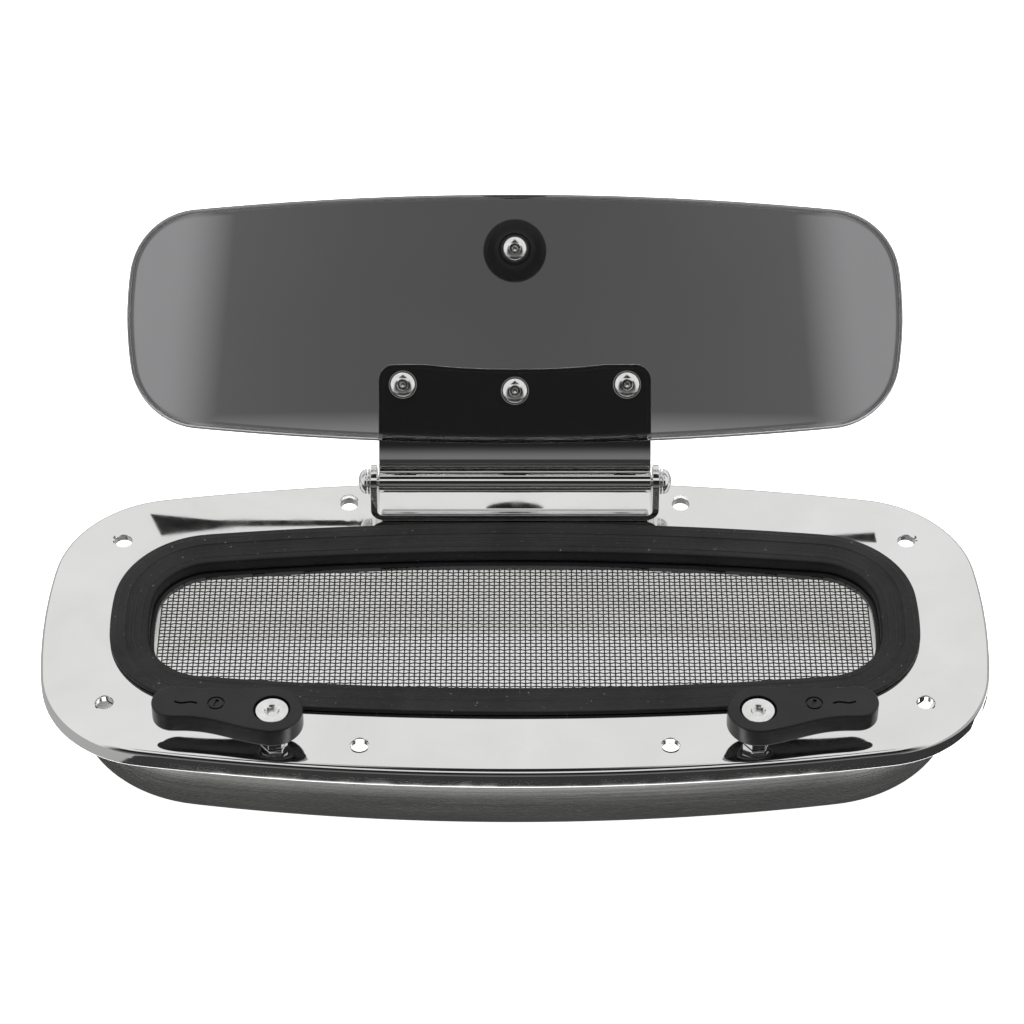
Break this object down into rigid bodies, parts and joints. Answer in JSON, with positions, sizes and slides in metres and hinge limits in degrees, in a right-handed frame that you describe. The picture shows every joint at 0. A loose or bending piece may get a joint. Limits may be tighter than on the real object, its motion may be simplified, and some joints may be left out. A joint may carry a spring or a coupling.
{
  "type": "opening porthole",
  "caption": "Opening porthole: polished flange on a deep spigot, hinged smoked lens with a pull knob, turn latches, rubber seal and insect screen.",
  "frame": {"origin": "middle of the base of the whole object's box, with the lens open and the spigot standing on the ground; the flange's centre is 24.9 mm towards -Y and 38 mm up", "axes": "+X along the flange's length, +Y from the latches towards the hinge, +Z out of the flange's cabin face"},
  "size_m": [0.286, 0.1778, 0.1211],
  "materials": {
    "polished_steel": "mirror-polished stainless steel",
    "brushed_steel": "satin brushed stainless steel",
    "fastener_steel": "bright stainless fasteners",
    "black_rubber": "matte EPDM",
    "black_plastic": "satin moulded nylon",
    "black_nylon": "plain nylon",
    "screen_gauze": "dark grey coated wire gauze",
    "smoked_glass": "smoked toughened glass, polished"
  },
  "bodies": {
    "frame": {"flange_plate": "polished_steel", "spigot_body": "brushed_steel", "main_seal": "black_rubber", "screen_frame": "black_plastic", "screen_mesh": "screen_gauze", "hinge_bracket": "polished_steel", "hinge_pin": "fastener_steel", "hinge_cap_nut": "fastener_steel", "hinge_washer_left": "fastener_steel", "hinge_washer_right": "fastener_steel", "latch_post_left": "polished_steel", "latch_post_right": "polished_steel", "latch_bush_left": "fastener_steel", "latch_bush_right": "fastener_steel", "latch_washer_left": "black_nylon", "latch_washer_right": "black_nylon", "latch_screw_left": "fastener_steel", "latch_screw_right": "fastener_steel"},
    "lens": {"lens_glass": "smoked_glass", "lens_bush_hinge_left": "black_nylon", "lens_bush_hinge_middle": "black_nylon", "lens_bush_hinge_right": "black_nylon", "lens_bush_knob": "black_nylon", "hinge_leaf": "polished_steel", "hinge_pad": "black_rubber", "hinge_screw_left": "fastener_steel", "hinge_screw_middle": "fastener_steel", "hinge_screw_right": "fastener_steel", "hinge_nut_left": "fastener_steel", "hinge_nut_middle": "fastener_steel", "hinge_nut_right": "fastener_steel", "knob": "black_plastic", "knob_screw": "fastener_steel", "knob_washer": "black_rubber"},
    "latch_left": {"latch_handle_left": "black_plastic"},
    "latch_right": {"latch_handle_right": "black_plastic"}
  },
  "joints": [
    {"name": "lens_hinge", "type": "hinge", "parent": "frame", "child": "lens", "pos_m": [0, 0.0256, 0.0484], "axis": [1, 0, 0], "range_deg": [0, 130]},
    {"name": "latch_turn_left", "type": "hinge", "parent": "frame", "child": "latch_left", "pos_m": [-0.0704, -0.0765, 0.0485], "axis": [0, 0, -1], "range_deg": [0, 90]},
    {"name": "latch_turn_right", "type": "hinge", "parent": "frame", "child": "latch_right", "pos_m": [0.0704, -0.0765, 0.0485], "axis": [0, 0, 1], "range_deg": [0, 90]}
  ]
}
